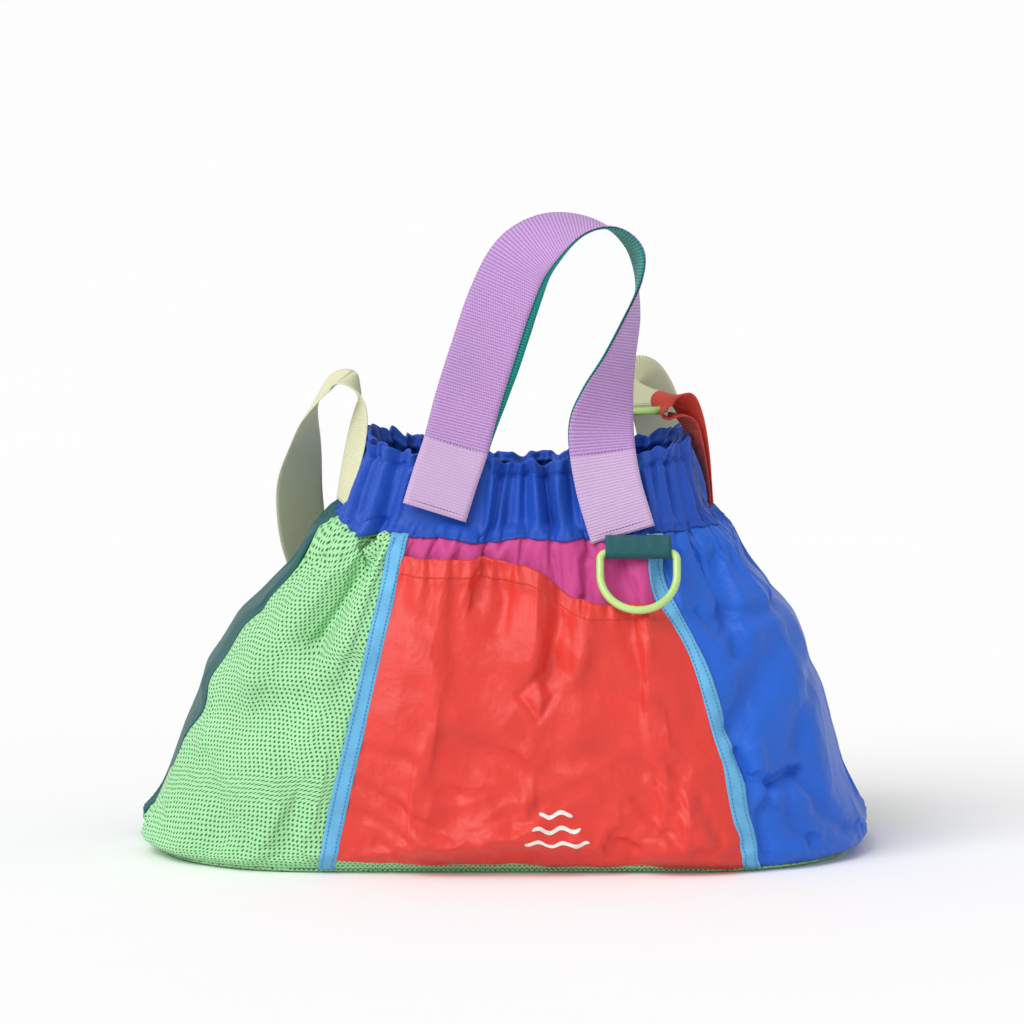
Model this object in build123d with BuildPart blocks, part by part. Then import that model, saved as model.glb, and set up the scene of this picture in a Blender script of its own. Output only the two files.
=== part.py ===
"""Gathered-top beach tote, standing on its base.

Millimetres, +Z up. The origin is at the bottom centre of the whole bag's box, the front faces -Y
and +X is to the right. The fabric body is a lofted shell cut into its sewn panels. The carry handle
is a twisted two-ply ribbon, and the shoulder strap hangs in a U behind the bag.
"""
import os
from build123d import *
from math import cos, radians, sin

os.makedirs("parts", exist_ok=True)

# Driving dimensions
MIDDLE_Y = -12.0  # the body's middle: the strap behind takes more room than the pocket in front
FABRIC = 2.0  # body fabric with its lining
TRIM = 1.2  # tapes, hems and one ply of webbing
BASE_T = 2.5
POCKET_OUT = 8.0  # how far the pocket bag stands off the front panel
MARGIN = 12.0  # sewn margin and hem
RIM_Z = 316.0
NECK_Z = 262.0  # where the gathered collar is sewn to the panels
REACH = 400.0  # longer than the bag, for cutting prisms

WEBBING = 50.0
STRAP_W = 38.0
STRAP_T = 1.4
ROD_R = 3.0
RUN_GAP = 0.08  # running clearance between a rod and the fold that holds it
FREE_GAP = 0.5  # clearance where the strap and ring linkage is left open

# Body outline, base to neck: height, middle in X, half width, half depth, corner radius
BODY = [
    (0, 0, 258, 138, 112),
    (10, 0, 276, 150, 122),
    (30, 0, 273, 156, 126),
    (75, 1, 257, 152, 122),
    (125, 3, 242, 143, 114),
    (180, 8, 216, 129, 100),
    (225, 11, 175, 110, 80),
    (NECK_Z, 15, 138, 92, 56),
]
COLLAR = [
    (NECK_Z, 15, 138, 92, 56),
    (289, 16, 130, 89, 54),
    (RIM_Z, 18, 125, 88, 53),
]

# Front panel seams, seen from the front: X and Z, base to neck
LEFT_SEAM = [(-137, -5), (-75, NECK_Z + 5)]
RIGHT_SEAM = [(188, -5), (173, 84), (147, 163), (129, 195), (114, 216), (112, NECK_Z + 5)]
TAPE_W = 13.0

# Pocket outline, inside the tapes
POCKET_TOP = [(108, 212), (62, 209), (30, 233), (-79, 236)]
POCKET = [(-132, 6), (181, 6), (166, 84), (140, 163), (122, 195)] + POCKET_TOP
POCKET_HEM = [(-82, 224), (30, 221), (62, 197), (118, 200)] + POCKET_TOP

# Handle, from the left foot over the arch to the right foot: centre line X, Y, Z and the webbing's
# turn about that line, in degrees: 0 faces the front, 90 is edge on
HINGE_Z = RIM_Z + 2.0
HANDLE_Y = MIDDLE_Y - 88.0 - TRIM
HANDLE = [
    (-37, HANDLE_Y, HINGE_Z + 2, 0),
    (-28, HANDLE_Y - 1, 354, 4),
    (-17, HANDLE_Y - 1, 389, 8),
    (-4, HANDLE_Y, 428, 14),
    (11, HANDLE_Y + 2, 459, 26),
    (32, HANDLE_Y + 4, 480, 48),
    (58, HANDLE_Y + 5, 490, 78),
    (82, HANDLE_Y + 5, 486, 98),
    (98, HANDLE_Y + 4, 468, 104),
    (101, HANDLE_Y + 2, 446, 94),
    (96, HANDLE_Y, 417, 76),
    (86, HANDLE_Y - 1, 384, 60),
    (77, HANDLE_Y - 1, 355, 36),
    (73, HANDLE_Y, 335, 12),
    (73, HANDLE_Y, HINGE_Z + 2, 0),
]
# The sewn feet, seen from the front: bottom left, bottom right, top right, top left
LEFT_FOOT = [(-76, 278), (-31, 262), (-12, RIM_Z), (-62, RIM_Z)]
RIGHT_FOOT = [(65, 250), (114, 255), (98, RIM_Z), (48, RIM_Z)]
# Stitch rows across the feet: their ends, parallel to the webbing's cut edge
FOOT_STITCHES = [
    [(-73, 283), (-30, 268)],
    [(-62, 311), (-16, 311)],
    [(66, 256), (112, 261)],
    [(51, 311), (96, 311)],
]
STITCH = 1.0
STITCH_PROUD = 0.3

# Front ring, hanging on the slope of the bag from its grosgrain loop
RING_INNER = 52.0
RING_LEG = 18.0
RING_X = 101.0
RING_BAR = (RING_X, MIDDLE_Y - 112.5, 240.0)
RING_HANG = 31.0  # degrees forward of straight down

# Shoulder strap: it turns about a line along X through its sewn end and the side ring's bar
STRAP_AXIS_Z = 340.0
SIDE_RING_INNER = 42.0
SIDE_RING_X = 99.0
STRAP = [
    (-115, MIDDLE_Y, STRAP_AXIS_Z + 1.5, 90),
    (-119, MIDDLE_Y + 1, 352, 100),
    (-130, MIDDLE_Y + 6, 361, 112),
    (-144, MIDDLE_Y + 16, 352, 100),
    (-152, MIDDLE_Y + 34, 328, 76),
    (-157, MIDDLE_Y + 58, 298, 46),
    (-160, MIDDLE_Y + 88, 258, 18),
    (-154, MIDDLE_Y + 120, 212, 14),
    (-132, MIDDLE_Y + 152, 164, 40),
    (-88, MIDDLE_Y + 167, 127, 70),
    (-32, MIDDLE_Y + 170, 110, 88),
    (28, MIDDLE_Y + 170, 110, 88),
    (84, MIDDLE_Y + 166, 129, 72),
    (118, MIDDLE_Y + 156, 168, 42),
    (130, MIDDLE_Y + 134, 222, 16),
    (125, MIDDLE_Y + 110, 284, 6),
    (117, MIDDLE_Y + 88, 328, 2),
    (108, MIDDLE_Y + 60, 350, 0),
    (102, MIDDLE_Y + 28, 356, 0),
    (SIDE_RING_X, MIDDLE_Y + 3.5, STRAP_AXIS_Z + 4, 0),
]
# The strap's sewn end, seen from the front: up the collar's left side to the strap's axis
SEWN_END = [(-124.6, NECK_Z + 5), (-116, 289), (-109.5, RIM_Z), (-110, STRAP_AXIS_Z - 1.5)]
# Side tab, seen from the front: from its seam on the collar up and over the rim to the ring's leg
TAB = [(155.4, 263), (149, 312), (139, 343), (125, 345)]
TAB_W = 28.0


def lofted(sections, outset):
    """Solid through rounded rectangles, each grown by outset."""
    with BuildPart() as solid:
        for height, middle, half_width, half_depth, corner in sections:
            with BuildSketch(Plane((middle, MIDDLE_Y, height))):
                RectangleRounded(
                    2 * (half_width + outset),
                    2 * (half_depth + outset),
                    corner + outset,
                )
        loft()
    return solid.part


def front_prism(outline):
    """Prism that runs forward from the body's middle plane, with an outline drawn in X and Z."""
    with BuildPart() as prism:
        with BuildSketch(Plane.XZ.offset(-MIDDLE_Y)):
            with BuildLine():
                Polyline(*outline, close=True)
            make_face()
        extrude(amount=REACH)
    return prism.part


def band(line, half_width):
    """Outline of a tape that follows a line of X and Z points."""
    left = [(x - half_width, z) for x, z in line]
    right = [(x + half_width, z) for x, z in line]
    return left + right[::-1]


def ribbon(stations, ends, width, thickness, shift=0.0):
    """Webbing whose four long edges are splines; ends gives its end directions."""
    points = [Vector(*station[:3]) for station in stations]
    corners = [[], [], [], []]
    for index, station in enumerate(stations):
        if index == 0:
            along = Vector(*ends[0]).normalized()
        elif index == len(stations) - 1:
            along = Vector(*ends[1]).normalized()
        else:
            along = (points[index + 1] - points[index - 1]).normalized()
        across = Vector(0, 1, 0).cross(along).normalized()
        turn = radians(station[3])
        edge = across * cos(turn) - along.cross(across) * sin(turn)
        normal = along.cross(edge)
        for corner, (sideways, outward) in enumerate(((-1, -1), (1, -1), (1, 1), (-1, 1))):
            offset = edge * (sideways * width / 2) + normal * (shift + outward * thickness / 2)
            corners[corner].append(points[index] + offset)
    rails = [Edge.make_spline(corner) for corner in corners]
    faces = [Face.make_surface_from_curves(rails[side], rails[(side + 1) % 4]) for side in range(4)]
    for end in (0, -1):
        faces.append(Face(Wire.make_polygon([corner[end] for corner in corners], close=True)))
    return Solid(Shell(faces))


def ring(plane, inner, leg, radius):
    """D-ring of round rod: a straight bar, two short legs and a half circle."""
    half = inner / 2 + ROD_R
    bend = 5.0
    with BuildPart() as rod:
        with BuildLine(plane) as path:
            Line((0, 0), (half - bend, 0))
            RadiusArc((half - bend, 0), (half, -bend), bend)
            Line((half, -bend), (half, -leg))
            RadiusArc((half, -leg), (-half, -leg), half)
            Line((-half, -leg), (-half, -bend))
            RadiusArc((-half, -bend), (-half + bend, 0), bend)
            Line((-half + bend, 0), (0, 0))
        with BuildSketch(Plane(origin=path.wire() @ 0, z_dir=path.wire() % 0)):
            Circle(radius)
        sweep()
    return rod.part


pieces = {}

# The body's layers, from the lining out to the trim
body_outer = lofted(BODY, 0)
body_inner = lofted(BODY, -FABRIC)
body_taped = lofted(BODY, TRIM)
pocket_inside = lofted(BODY, POCKET_OUT - TRIM)
pocket_outside = lofted(BODY, POCKET_OUT)
collar_outer = lofted(COLLAR, 0)

front_outline = LEFT_SEAM + RIGHT_SEAM[::-1]
front_cut = front_prism(front_outline)
# The back seams: a little forward of the middle on the left and behind it on the right
back_plane = Plane(origin=(0, MIDDLE_Y + 4, 0), x_dir=(518, 62, 0), z_dir=(-62, 518, 0))

# Base
with BuildPart() as base_panel:
    add(body_outer)
    split(bisect_by=Plane.XY.offset(BASE_T), keep=Keep.BOTTOM)
pieces["base_panel"] = base_panel

# Wall shell above the base, then its four panels
with BuildPart() as wall:
    add(body_outer)
    add(body_inner, mode=Mode.SUBTRACT)
    split(bisect_by=Plane.XY.offset(BASE_T), keep=Keep.TOP)

with BuildPart() as back_panel:
    add(wall.part)
    split(bisect_by=back_plane, keep=Keep.TOP)
pieces["back_panel"] = back_panel

with BuildPart() as front_half:
    add(wall.part)
    split(bisect_by=back_plane, keep=Keep.BOTTOM)

with BuildPart() as front_panel:
    add(front_half.part)
    add(front_cut, mode=Mode.INTERSECT)
pieces["front_panel"] = front_panel

with BuildPart() as sides:
    add(front_half.part)
    add(front_cut, mode=Mode.SUBTRACT)

with BuildPart() as mesh_side_panel:
    add(sides.solids().sort_by(Axis.X)[0])
pieces["mesh_side_panel"] = mesh_side_panel

with BuildPart() as nylon_side_panel:
    add(sides.solids().sort_by(Axis.X)[-1])
pieces["nylon_side_panel"] = nylon_side_panel

# Binding tapes over the two front seams
for side, seam in (("left", LEFT_SEAM), ("right", RIGHT_SEAM)):
    with BuildPart() as binding:
        add(body_taped)
        add(body_outer, mode=Mode.SUBTRACT)
        add(front_prism(band(seam, TAPE_W / 2)), mode=Mode.INTERSECT)
        add(front_prism(LEFT_FOOT), mode=Mode.SUBTRACT)
        add(front_prism(RIGHT_FOOT), mode=Mode.SUBTRACT)
        split(bisect_by=Plane.XY.offset(BASE_T + 1), keep=Keep.TOP)
    pieces["binding_" + side] = binding

# Patch pocket: sewn round three sides, open at the top
pocket_cavity_outline = [
    (-130 + MARGIN, 6 + MARGIN),
    (181 - MARGIN, 6 + MARGIN),
    (166 - MARGIN, 84),
    (140 - MARGIN, 163),
    (118 - MARGIN, 200),
    (108 - MARGIN, 240),
    (-79 + MARGIN, 240),
]
with BuildPart() as pocket_cavity:
    add(pocket_inside)
    add(front_prism(pocket_cavity_outline), mode=Mode.INTERSECT)

tape_spaces = []
for seam in (LEFT_SEAM, RIGHT_SEAM):
    with BuildPart() as tape_space:
        add(body_taped)
        add(front_prism(band(seam, TAPE_W / 2)), mode=Mode.INTERSECT)
    tape_spaces.append(tape_space.part)

with BuildPart() as pocket_panel:
    add(pocket_outside)
    add(body_outer, mode=Mode.SUBTRACT)
    add(front_prism(POCKET), mode=Mode.INTERSECT)
    add(pocket_cavity.part, mode=Mode.SUBTRACT)
    for tape_space in tape_spaces:
        add(tape_space, mode=Mode.SUBTRACT)
pieces["pocket_panel"] = pocket_panel

# The hem turned over inside the pocket's mouth
with BuildPart() as pocket_hem:
    add(pocket_cavity.part)
    add(lofted(BODY, POCKET_OUT - 2 * TRIM), mode=Mode.SUBTRACT)
    add(front_prism(POCKET_HEM), mode=Mode.INTERSECT)
pieces["pocket_hem"] = pocket_hem

# A plain printed mark on the pocket: three stacked bars
with BuildPart() as pocket_print:
    add(lofted(BODY, POCKET_OUT + 0.3))
    add(pocket_outside, mode=Mode.SUBTRACT)
    with BuildSketch(Plane.XZ.offset(-MIDDLE_Y)):
        for row in range(3):
            with Locations((40, 40 + 9 * row)):
                SlotOverall(46 - 8 * row, 3)
    extrude(amount=REACH, mode=Mode.INTERSECT)
pieces["pocket_print"] = pocket_print

# Gathered collar: outer fabric in two halves, elastic inside, facing behind it
CASING = 4.0
with BuildPart() as collar_fabric:
    add(collar_outer)
    add(lofted(COLLAR, -TRIM), mode=Mode.SUBTRACT)
with BuildPart() as collar_front:
    add(collar_fabric.part)
    split(bisect_by=back_plane, keep=Keep.BOTTOM)
pieces["collar_front"] = collar_front
with BuildPart() as collar_back:
    add(collar_fabric.part)
    split(bisect_by=back_plane, keep=Keep.TOP)
pieces["collar_back"] = collar_back

with BuildPart() as collar_facing:
    add(lofted(COLLAR, TRIM - CASING))
    add(lofted(COLLAR, -CASING), mode=Mode.SUBTRACT)
pieces["collar_facing"] = collar_facing

with BuildPart() as elastic_band:
    add(lofted(COLLAR, -TRIM))
    add(lofted(COLLAR, TRIM - CASING), mode=Mode.SUBTRACT)
    split(bisect_by=Plane.XY.offset(RIM_Z - 14), keep=Keep.TOP)
    split(bisect_by=Plane.XY.offset(RIM_Z - 4), keep=Keep.BOTTOM)
pieces["elastic_band"] = elastic_band

# Handle feet: two plies sewn to the collar's front, with their stitch rows
outsets = [0, TRIM, 2 * TRIM, 2 * TRIM + STITCH_PROUD]
whole = [lofted(BODY, outset) + lofted(COLLAR, outset) for outset in outsets]
for side, outline in (("left", LEFT_FOOT), ("right", RIGHT_FOOT)):
    for level, ply in ((1, "inner"), (2, "outer")):
        with BuildPart() as foot:
            add(whole[level])
            add(whole[level - 1], mode=Mode.SUBTRACT)
            add(front_prism(outline), mode=Mode.INTERSECT)
        pieces[f"handle_foot_{side}_{ply}"] = foot

with BuildPart() as handle_stitching:
    for row in FOOT_STITCHES:
        low = [(x, z - STITCH / 2) for x, z in row]
        high = [(x, z + STITCH / 2) for x, z in row]
        add((whole[3] - whole[2]) & front_prism(low + high[::-1]))
pieces["handle_stitching"] = handle_stitching

# Handle arch: two plies from foot to foot
UPRIGHT = ((0, 0, 1), (0, 0, -1))
with BuildPart() as handle_outer_webbing:
    add(ribbon(HANDLE, UPRIGHT, WEBBING, TRIM, shift=-TRIM / 2))
pieces["handle_outer_webbing"] = handle_outer_webbing
with BuildPart() as handle_inner_webbing:
    add(ribbon(HANDLE, UPRIGHT, WEBBING, TRIM, shift=TRIM / 2))
pieces["handle_inner_webbing"] = handle_inner_webbing

# Front ring and the grosgrain loop that holds its bar
hang = radians(RING_HANG)
ring_plane = Plane(origin=RING_BAR, x_dir=(1, 0, 0), z_dir=(0, -cos(hang), sin(hang)))
with BuildPart() as front_ring:
    add(ring(ring_plane, RING_INNER, RING_LEG, ROD_R))
pieces["front_ring"] = front_ring

fold_r = ROD_R + RUN_GAP + TRIM
loop_plane = Plane(origin=RING_BAR, x_dir=(0, -cos(hang), sin(hang)), z_dir=(1, 0, 0))
with BuildPart() as ring_loop:
    with BuildSketch(loop_plane):
        Circle(fold_r)
        with Locations((-fold_r + TRIM, 7)):
            Rectangle(2 * TRIM, 14)
        Circle(ROD_R + RUN_GAP, mode=Mode.SUBTRACT)
    extrude(amount=(RING_INNER - 4) / 2, both=True)
pieces["ring_loop"] = ring_loop

# Shoulder strap, its sewn end on the collar and its fold round the side ring's bar
with BuildPart() as shoulder_strap:
    add(ribbon(STRAP, ((0, 0, 1), (0, -0.66, -0.75)), STRAP_W, STRAP_T))
pieces["shoulder_strap"] = shoulder_strap

side_plane = Plane(
    origin=(SIDE_RING_X, MIDDLE_Y, STRAP_AXIS_Z), x_dir=(1, 0, 0), z_dir=(0, 0, 1)
)
with BuildPart() as side_ring:
    add(ring(side_plane, SIDE_RING_INNER, RING_LEG, ROD_R))
pieces["side_ring"] = side_ring

strap_fold_r = ROD_R + RUN_GAP + STRAP_T
with BuildPart() as strap_ring_fold:
    with BuildSketch(Plane(origin=side_plane.origin, x_dir=(0, 1, 0), z_dir=(1, 0, 0))):
        Circle(strap_fold_r)
        Circle(ROD_R + RUN_GAP, mode=Mode.SUBTRACT)
    extrude(amount=STRAP_W / 2, both=True)
pieces["strap_ring_fold"] = strap_ring_fold

with BuildPart() as strap_sewn_end:
    with BuildSketch(Plane.XZ.offset(-MIDDLE_Y)):
        with BuildLine() as sewn_line:
            Polyline(*SEWN_END)
        trace(line_width=STRAP_T)
    extrude(amount=STRAP_W / 2, both=True)
pieces["strap_sewn_end"] = strap_sewn_end

# Side tab: two plies of webbing folded round the side ring's leg
with BuildPart() as side_tab:
    with BuildSketch(Plane.XZ.offset(-MIDDLE_Y + 14)):
        with BuildLine():
            FilletPolyline(*TAB, radius=8)
        trace(line_width=2 * TRIM)
        with Locations((SIDE_RING_X + SIDE_RING_INNER / 2 + ROD_R, STRAP_AXIS_Z)):
            Circle(ROD_R + FREE_GAP + TRIM)
    extrude(amount=TAB_W)
    add(ring(side_plane, SIDE_RING_INNER, RING_LEG, ROD_R + FREE_GAP), mode=Mode.SUBTRACT)
pieces["side_tab"] = side_tab

# Export, with a note of each piece's place
for name, piece in pieces.items():
    piece.part.label = name
    export_step(piece.part, f"parts/{name}.step")
    box = piece.part.bounding_box()
    print(
        f"{name:26s} solids {len(piece.part.solids())} volume {piece.part.volume:10.1f}"
        f"  x {box.min.X:7.1f} {box.max.X:7.1f}  y {box.min.Y:7.1f} {box.max.Y:7.1f}"
        f"  z {box.min.Z:7.1f} {box.max.Z:7.1f}"
    )
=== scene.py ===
"""Looks of the gathered beach tote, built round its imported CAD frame."""
import math
import random

import bpy
import numpy as np
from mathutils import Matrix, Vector, noise


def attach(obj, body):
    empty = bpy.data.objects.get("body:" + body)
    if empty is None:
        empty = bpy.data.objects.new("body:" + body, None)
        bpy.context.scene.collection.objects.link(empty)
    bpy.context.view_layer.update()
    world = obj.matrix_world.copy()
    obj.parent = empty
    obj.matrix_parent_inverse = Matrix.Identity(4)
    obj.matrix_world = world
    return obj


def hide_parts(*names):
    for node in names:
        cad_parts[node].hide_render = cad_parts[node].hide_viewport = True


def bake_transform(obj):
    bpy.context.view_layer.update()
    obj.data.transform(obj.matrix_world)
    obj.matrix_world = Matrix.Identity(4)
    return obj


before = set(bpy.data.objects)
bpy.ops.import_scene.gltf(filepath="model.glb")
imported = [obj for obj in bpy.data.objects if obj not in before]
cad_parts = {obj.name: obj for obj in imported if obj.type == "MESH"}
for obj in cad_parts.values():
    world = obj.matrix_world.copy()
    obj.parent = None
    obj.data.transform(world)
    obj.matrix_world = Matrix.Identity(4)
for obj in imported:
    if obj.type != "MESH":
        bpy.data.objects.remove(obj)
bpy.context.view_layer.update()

MM = 0.001

# ------------------------------------------------------------------ places and sizes, in millimetres
MIDDLE_Y = -12.0
RIM_Z = 316.0
NECK_Z = 262.0
# Height, middle X, half width, half depth and corner radius of the body
BODY = [
    (0, 0, 258, 138, 112),
    (10, 0, 276, 150, 122),
    (30, 0, 273, 156, 126),
    (75, 1, 257, 152, 122),
    (125, 3, 242, 143, 114),
    (180, 8, 216, 129, 100),
    (225, 11, 175, 110, 80),
    (262, 15, 138, 92, 60),
    (289, 16, 129, 88, 58),
    (316, 18, 124, 86, 56),
    (340, 19, 124, 86, 56),
]
# X and Z of the front seams
LEFT_SEAM = [(-137, -5), (-75, 267)]
RIGHT_SEAM = [(188, -5), (173, 84), (147, 163), (129, 195), (114, 216), (112, 267)]
TAPE_W = 13.0
HINGE_Z = RIM_Z + 2.0
HANDLE_Y = MIDDLE_Y - 89.2
STRAP_AXIS_Z = 340.0
WEBBING = 50.0
LEFT_FOOT = 54.0
RIGHT_FOOT = 64.0
STRAP_W = 38.0
ROD_R = 3.0
RING_LEG = 18.0
FRONT_RING_INNER = 52.0
SIDE_RING_INNER = 42.0
SIDE_RING_X = 99.0

# X, Y, Z and turn in degrees along the middle of the webbing
HANDLE = [
    (-53.5, HANDLE_Y - 8.4, 269, 0),
    (-45, HANDLE_Y - 5.4, 296, 0),
    (-37, HANDLE_Y - 2.2, HINGE_Z + 2, 0),
    (-28, HANDLE_Y - 1, 354, 4),
    (-17, HANDLE_Y - 1, 389, 8),
    (-4, HANDLE_Y, 428, 14),
    (11, HANDLE_Y + 2, 459, 26),
    (32, HANDLE_Y + 4, 477, 48),
    (58, HANDLE_Y + 5, 486, 78),
    (82, HANDLE_Y + 5, 483, 98),
    (98, HANDLE_Y + 4, 468, 104),
    (101, HANDLE_Y + 2, 446, 94),
    (96, HANDLE_Y, 417, 76),
    (86, HANDLE_Y - 1, 384, 60),
    (77, HANDLE_Y - 1, 355, 36),
    (73, HANDLE_Y - 2.2, HINGE_Z + 10, 8),
    (78, HANDLE_Y - 6.2, 292, 0),
    (89.5, HANDLE_Y - 12.0, 252.5, 0),
]
# The inner ply has slid sideways on the outer one, by these amounts along its length
PLY_SLIP = [0, 0, 1, 4, 5.5, 6, 5, 3, 1.5, 1, 1.5, 2, 2, 1.5, 1, 0.5, 0, 0]
STRAP = [
    (-125.5, MIDDLE_Y - 6, 266, 78),
    (-119, MIDDLE_Y - 6, 291, 70),
    (-113.5, MIDDLE_Y - 5, 316, 68),
    (-111, MIDDLE_Y - 2, 338, 76),
    (-114, MIDDLE_Y + 1, 351, 92),
    (-124, MIDDLE_Y + 6, 359, 104),
    (-139, MIDDLE_Y + 16, 351, 98),
    (-152, MIDDLE_Y + 34, 328, 76),
    (-157, MIDDLE_Y + 58, 298, 46),
    (-160, MIDDLE_Y + 88, 258, 18),
    (-154, MIDDLE_Y + 120, 212, 14),
    (-132, MIDDLE_Y + 152, 164, 40),
    (-88, MIDDLE_Y + 167, 127, 70),
    (-32, MIDDLE_Y + 170, 110, 88),
    (28, MIDDLE_Y + 170, 110, 88),
    (84, MIDDLE_Y + 166, 129, 72),
    (118, MIDDLE_Y + 156, 168, 42),
    (130, MIDDLE_Y + 134, 222, 16),
    (125, MIDDLE_Y + 110, 284, 6),
    (117, MIDDLE_Y + 88, 328, 2),
    (108, MIDDLE_Y + 60, 350, 0),
    (102, MIDDLE_Y + 28, 356, 0),
    (SIDE_RING_X, MIDDLE_Y + 4.6, STRAP_AXIS_Z + 4, 0),
    (SIDE_RING_X, MIDDLE_Y - 3.9, STRAP_AXIS_Z + 1, 0),
    (SIDE_RING_X, MIDDLE_Y - 0.5, STRAP_AXIS_Z - 4.0, 0),
    (SIDE_RING_X, MIDDLE_Y + 6, STRAP_AXIS_Z + 0.5, 0),
    (100.5, MIDDLE_Y + 22, STRAP_AXIS_Z + 11.5, 0),
]

# ------------------------------------------------------------------ the body as one smooth surface
HEIGHTS = np.arange(-20.0, 361.0, 1.0)


def _smoothed(column):
    """One column of BODY at every millimetre, rounded off between its rows."""
    rows = np.array(BODY, float)
    values = np.interp(HEIGHTS, rows[:, 0], rows[:, column])
    kernel = np.hanning(19)
    kernel /= kernel.sum()
    padded = np.pad(values, 9, mode="edge")
    soft = np.convolve(padded, kernel, mode="valid")
    near_floor = np.clip(HEIGHTS / 14.0, 0, 1)
    return values * (1 - near_floor) + soft * near_floor


PROFILE = [_smoothed(column) for column in (1, 2, 3, 4)]


def section(turn, height):
    """Point and outward normal on the smooth body: turn is 0 at the front's middle, 1 a whole lap."""
    middle, wide, deep, corner = (np.interp(height, HEIGHTS, column) for column in PROFILE)
    flat_x = wide - corner
    flat_y = deep - corner
    arc = math.pi * corner / 2
    lap = 4 * (flat_x + flat_y + arc)
    along = (np.asarray(turn, float) % 1.0) * lap
    folded = np.where(along > lap / 2, lap - along, along)
    side = np.where(along > lap / 2, -1.0, 1.0)
    first = np.clip(folded, 0, flat_x)
    swing = np.clip(folded - flat_x, 0, arc) / corner
    second = np.clip(folded - flat_x - arc, 0, 2 * flat_y)
    swing_back = np.clip(folded - flat_x - arc - 2 * flat_y, 0, arc) / corner
    third = np.clip(folded - flat_x - 2 * arc - 2 * flat_y, 0, flat_x)
    angle = swing + swing_back
    x = first + corner * np.sin(angle) - third
    y = -deep + corner * (1 - np.cos(swing)) + second
    y = y + np.sin(swing_back) * corner
    normal_x = side * np.sin(angle)
    normal_y = -np.cos(angle)
    return middle + side * x, MIDDLE_Y + y, normal_x, normal_y


TURNS = np.linspace(-0.5, 0.5, 2001)


def turn_at_x(x, height):
    """The turn where the front of the body has this X."""
    xs, _, _, _ = section(TURNS, np.full_like(TURNS, height))
    front = (TURNS > -0.26) & (TURNS < 0.26)
    return float(np.interp(x, xs[front], TURNS[front]))


# ------------------------------------------------------------------ gathers and folds
def _pleats(seed, count, spread):
    """Turns, widths and depths of the gathers round the neck."""
    rng = random.Random(seed)
    gathers = []
    for index in range(count):
        place = (index + rng.uniform(-spread, spread)) / count
        gathers.append((place, rng.uniform(0.22, 0.5) / count, rng.uniform(0.35, 1.0)))
    return gathers


FINE_PLEATS = _pleats(5, 64, 0.42)
BROAD_PLEATS = _pleats(8, 24, 0.42)
SHORT_PLEATS = _pleats(13, 38, 0.45)
RUFFLE = _pleats(21, 92, 0.45)


def gathered(turn, pleats):
    """Depth of the gathers at a turn, 0 on their crests and 1 in the deepest valley."""
    depth = np.zeros_like(turn)
    for place, width, weight in pleats:
        away = (turn - place + 0.5) % 1.0 - 0.5
        depth += weight * np.exp(-((away / width) ** 2))
    return depth


def pressed(x, y, height):
    """Where webbing is sewn flat over the gathers: 1 under it, 0 away from it."""
    soft = 7.0
    level = np.clip((height - 236) / 12, 0, 1)
    flattened = np.zeros(np.shape(x))
    lean = (height - 316) * 0.30
    for low, high, slope in ((-64, -11, 1.0), (47, 99, -0.9)):
        start = low + lean * slope
        end = high + lean * slope * 0.4
        inside = np.minimum((x - start) / soft, (end - x) / soft)
        flattened = np.maximum(flattened, np.clip(inside + 0.8, 0, 1) * (y < MIDDLE_Y))
    for side, low, high in ((-1, MIDDLE_Y - 19, MIDDLE_Y + 19), (1, MIDDLE_Y - 42, MIDDLE_Y - 13)):
        inside = np.minimum((y - low) / soft, (high - y) / soft)
        flattened = np.maximum(flattened, np.clip(inside + 0.8, 0, 1) * (side * (x - 15) > 0))
    return flattened * flattened * (3 - 2 * flattened) * level


def neck_push(turn, height, x, y):
    """How far the gathers move the fabric out or in below the collar."""
    neck = np.clip((height - 110.0) / (NECK_Z - 110.0), 0, 1)
    fine = np.clip((height - 200.0) / (NECK_Z - 200.0), 0, 1) ** 1.6
    drift = 0.010 * np.sin(turn * 2 * math.pi * 7 + 1.0) * (1 - neck)
    push = -7.5 * gathered(turn + drift, BROAD_PLEATS) * neck**1.8 + 3.0 * neck**2
    push += -4.4 * gathered(turn - drift * 0.6, FINE_PLEATS) * fine + 1.4 * fine
    flat = pressed(x, y, height)
    return push * (1 - flat) - 0.8 * flat


# The cloth's lowest point above the floor
CLOTH_LOW = 0.4
# Folds, seen from the front: X and Z points, half width, depth
FOLDS = [
    ([(-90, 278), (-106, 246), (-132, 206), (-150, 172)], 9.5, 17.0),
    ([(-102, 258), (-126, 214), (-146, 180)], 26.0, 8.0),
    ([(-246, 118), (-212, 112), (-176, 122), (-150, 128)], 16.0, 7.0),
    ([(-205, 214), (-186, 186), (-172, 160)], 12.0, 5.0),
    ([(-168, 100), (-160, 62), (-166, 24)], 14.0, 4.0),
    ([(-232, 80), (-220, 44), (-226, 18)], 12.0, 5.0),
    ([(-18, 262), (-16, 236), (-22, 205)], 7.0, 6.0),
    ([(62, 255), (66, 230), (60, 205)], 7.0, 6.0),
    ([(140, 262), (150, 235), (172, 205), (182, 165)], 9.0, 9.0),
    ([(128, 262), (134, 236), (152, 215)], 5.0, 5.0),
    ([(216, 204), (196, 194), (168, 190)], 7.0, 7.0),
    ([(150, 196), (166, 178), (176, 182)], 4.5, 5.0),
    ([(212, 172), (196, 142), (174, 112)], 13.0, 9.0),
    ([(240, 150), (230, 124), (226, 92)], 7.0, 5.0),
    ([(178, 92), (186, 74), (206, 66), (226, 74)], 4.5, 7.0),
    ([(204, 64), (196, 40), (200, 16)], 6.0, 5.0),
    ([(216, 62), (220, 40), (236, 24)], 5.0, 5.0),
    ([(226, 70), (240, 50), (262, 30)], 6.0, 5.0),
]
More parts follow.
